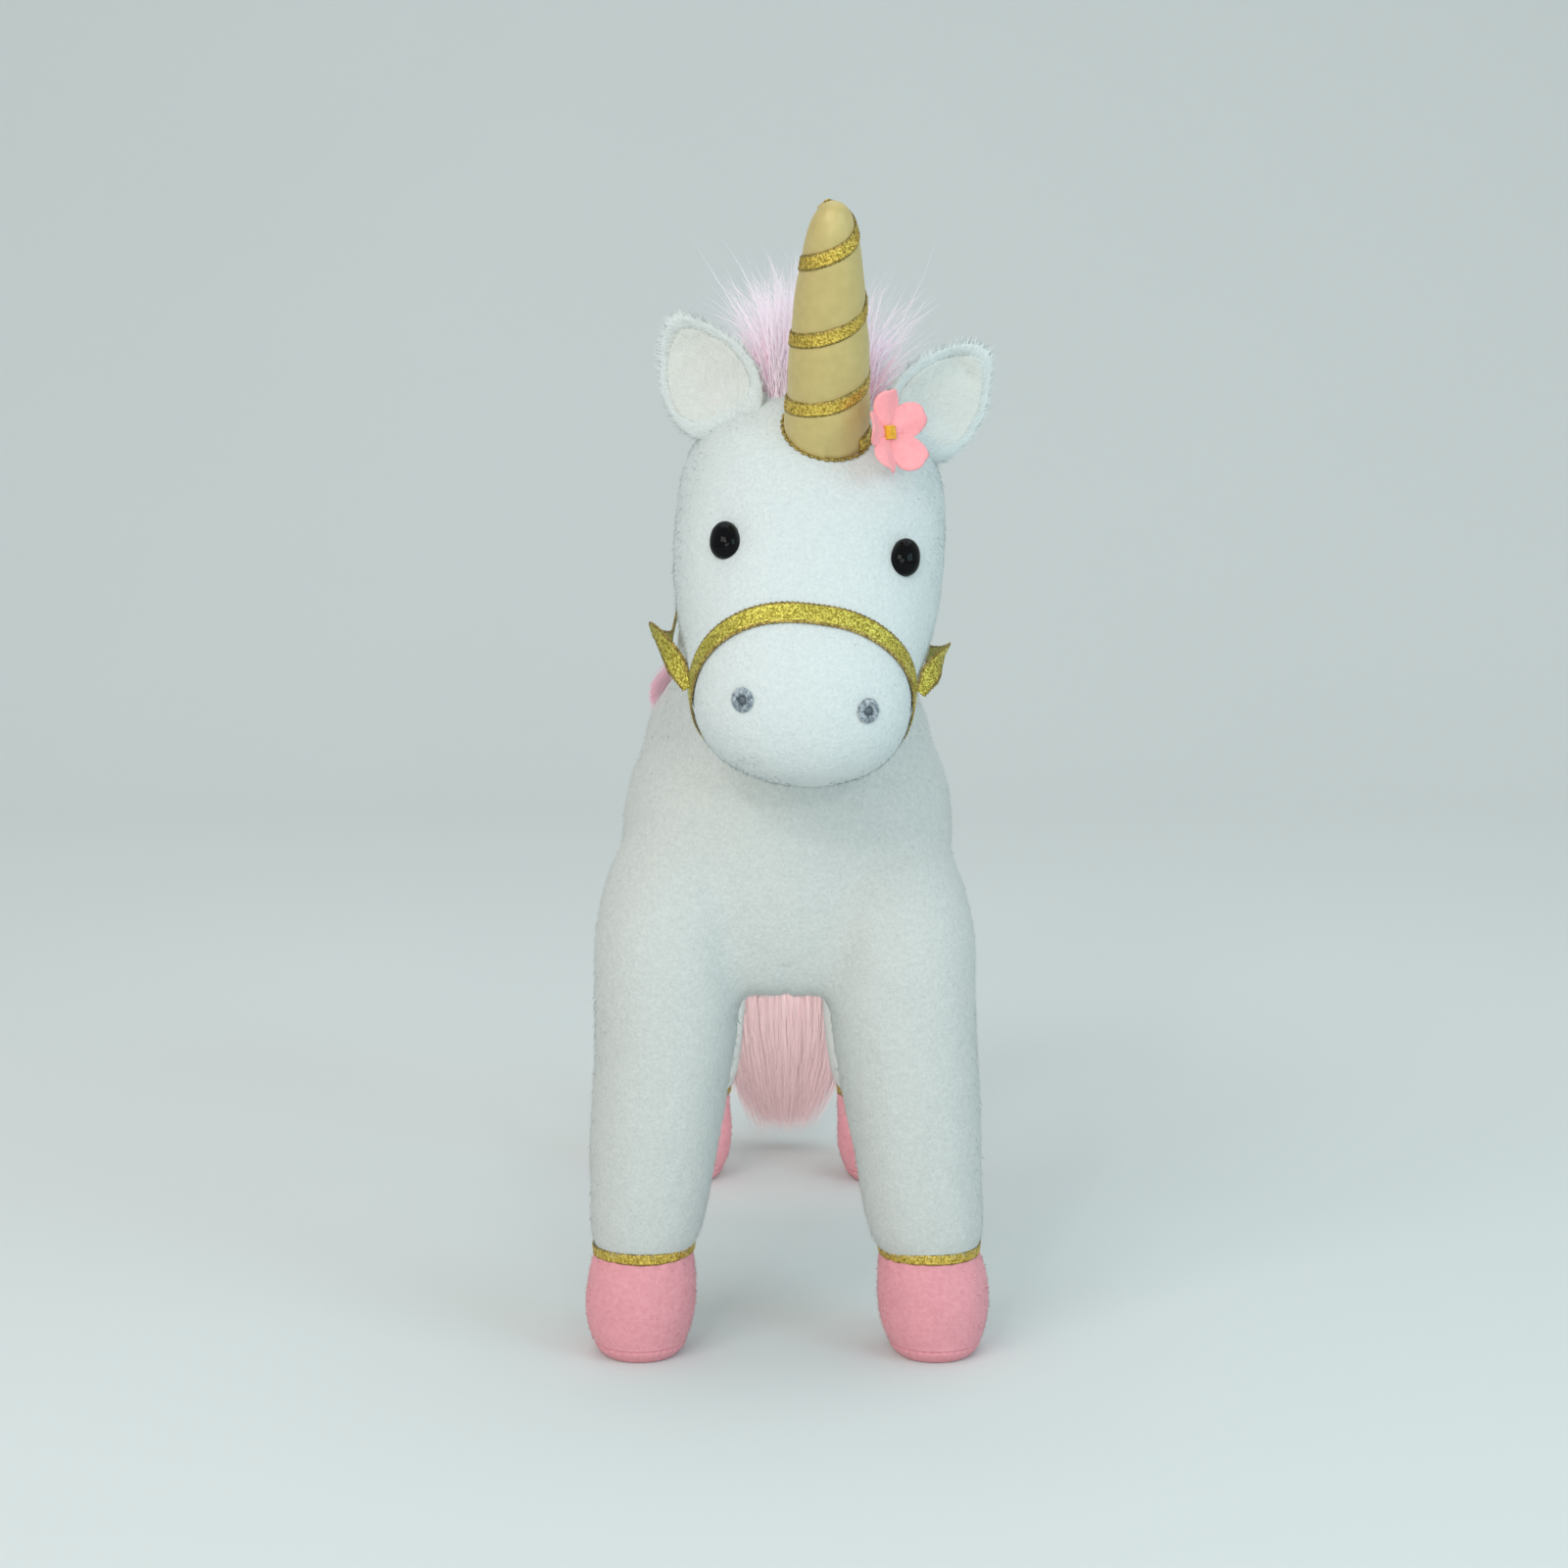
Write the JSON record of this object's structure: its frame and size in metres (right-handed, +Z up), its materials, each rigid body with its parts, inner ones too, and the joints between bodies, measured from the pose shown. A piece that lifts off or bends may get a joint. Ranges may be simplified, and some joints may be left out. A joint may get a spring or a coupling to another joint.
{
  "type": "plush unicorn",
  "caption": "Standing stuffed plush unicorn with sewn flexing legs, neck, ears and tail, a stuffed satin horn, ribbon trims and felt hooves.",
  "frame": {"origin": "on the ground under the middle of the bounding box", "axes": "+Z up, the unicorn faces -Y, +X to its left-hand side, across its width"},
  "size_m": [0.114, 0.3232, 0.3252],
  "materials": {
    "plush_white": "short dense white minky pile",
    "hoof_pink": "brushed pink felt-like fabric",
    "sole_pink": "pink felt disc",
    "gold_ribbon": "woven metallic gold ribbon with picot edge",
    "gold_satin": "gold satin",
    "stuffing": "polyester fibre filling",
    "pellets": "cotton bag of plastic pellets",
    "eye_black": "gloss black moulded",
    "washer_white": "moulded natural nylon",
    "nostril_grey": "silver-grey bead with a dark middle",
    "ear_lining": "cream short pile",
    "flower_pink": "pink felt",
    "flower_yellow": "yellow stitched knot",
    "mane_pink": "long soft pink pile",
    "tail_pink": "long soft pink pile",
    "tail_core_mat": "rolled pink fabric"
  },
  "bodies": {
    "torso": {"torso_cover": "plush_white", "torso_stuffing": "stuffing", "pellet_bag": "pellets"},
    "neck": {"neck_cover": "plush_white", "neck_stuffing": "stuffing", "mane_crest": "mane_pink"},
    "head": {"head_cover": "plush_white", "head_stuffing": "stuffing", "eye_left": "eye_black", "eye_right": "eye_black", "eye_washer_left": "washer_white", "eye_washer_right": "washer_white", "nostril_left": "nostril_grey", "nostril_right": "nostril_grey", "horn_cover": "gold_satin", "horn_stuffing": "stuffing", "horn_ribbon": "gold_ribbon", "horn_base_trim": "gold_ribbon", "noseband": "gold_ribbon", "cheek_strap_left": "gold_ribbon", "cheek_strap_right": "gold_ribbon", "flower_petals": "flower_pink", "flower_centre": "flower_yellow", "mane_tuft": "mane_pink"},
    "ear_left": {"ear_left_outer": "plush_white", "ear_left_lining": "ear_lining"},
    "ear_right": {"ear_right_outer": "plush_white", "ear_right_lining": "ear_lining"},
    "tail": {"tail_core": "tail_core_mat", "tail_fur": "tail_pink"},
    "front_left_leg": {"front_left_leg_cover": "plush_white", "front_left_leg_stuffing": "stuffing", "front_left_hoof": "hoof_pink", "front_left_hoof_sole": "sole_pink", "front_left_hoof_ribbon": "gold_ribbon"},
    "front_right_leg": {"front_right_leg_cover": "plush_white", "front_right_leg_stuffing": "stuffing", "front_right_hoof": "hoof_pink", "front_right_hoof_sole": "sole_pink", "front_right_hoof_ribbon": "gold_ribbon"},
    "hind_left_leg": {"hind_left_leg_cover": "plush_white", "hind_left_leg_stuffing": "stuffing", "hind_left_hoof": "hoof_pink", "hind_left_hoof_sole": "sole_pink", "hind_left_hoof_ribbon": "gold_ribbon"},
    "hind_right_leg": {"hind_right_leg_cover": "plush_white", "hind_right_leg_stuffing": "stuffing", "hind_right_hoof": "hoof_pink", "hind_right_hoof_sole": "sole_pink", "hind_right_hoof_ribbon": "gold_ribbon"}
  },
  "joints": [
    {"name": "neck_nod", "type": "hinge", "parent": "torso", "child": "neck", "pos_m": [0, -0.0604, 0.166], "axis": [1, 0, 0], "range_deg": [-14, 14], "stiffness_Nm_per_rad": 4},
    {"name": "head_turn", "type": "hinge", "parent": "neck", "child": "head", "pos_m": [0, -0.0604, 0.166], "axis": [0.0879, -0.4219, 0.9024], "range_deg": [-25, 25], "stiffness_Nm_per_rad": 1},
    {"name": "ear_left_fold", "type": "hinge", "parent": "head", "child": "ear_left", "pos_m": [0.03503, -0.10144, 0.26279], "axis": [0.7323, 0.315, -0.6038], "range_deg": [-20, 20], "stiffness_Nm_per_rad": 0.02},
    {"name": "ear_right_fold", "type": "hinge", "parent": "head", "child": "ear_right", "pos_m": [-0.01522, -0.10365, 0.26762], "axis": [0.8584, -0.2453, 0.4506], "range_deg": [-20, 20], "stiffness_Nm_per_rad": 0.02},
    {"name": "tail_lift", "type": "hinge", "parent": "torso", "child": "tail", "pos_m": [0, 0.1286, 0.168], "axis": [1, 0, 0], "range_deg": [-3, 60], "stiffness_Nm_per_rad": 0.15},
    {"name": "front_left_leg_swing", "type": "hinge", "parent": "torso", "child": "front_left_leg", "pos_m": [0.034, -0.0864, 0.118], "axis": [1, 0, 0], "range_deg": [-15, 15], "stiffness_Nm_per_rad": 1.2},
    {"name": "front_right_leg_swing", "type": "hinge", "parent": "torso", "child": "front_right_leg", "pos_m": [-0.034, -0.0864, 0.118], "axis": [1, 0, 0], "range_deg": [-15, 15], "stiffness_Nm_per_rad": 1.2},
    {"name": "hind_left_leg_swing", "type": "hinge", "parent": "torso", "child": "hind_left_leg", "pos_m": [0.0305, 0.1076, 0.118], "axis": [1, 0, 0], "range_deg": [-15, 15], "stiffness_Nm_per_rad": 1.2},
    {"name": "hind_right_leg_swing", "type": "hinge", "parent": "torso", "child": "hind_right_leg", "pos_m": [-0.0305, 0.1076, 0.118], "axis": [1, 0, 0], "range_deg": [-15, 15], "stiffness_Nm_per_rad": 1.2}
  ]
}
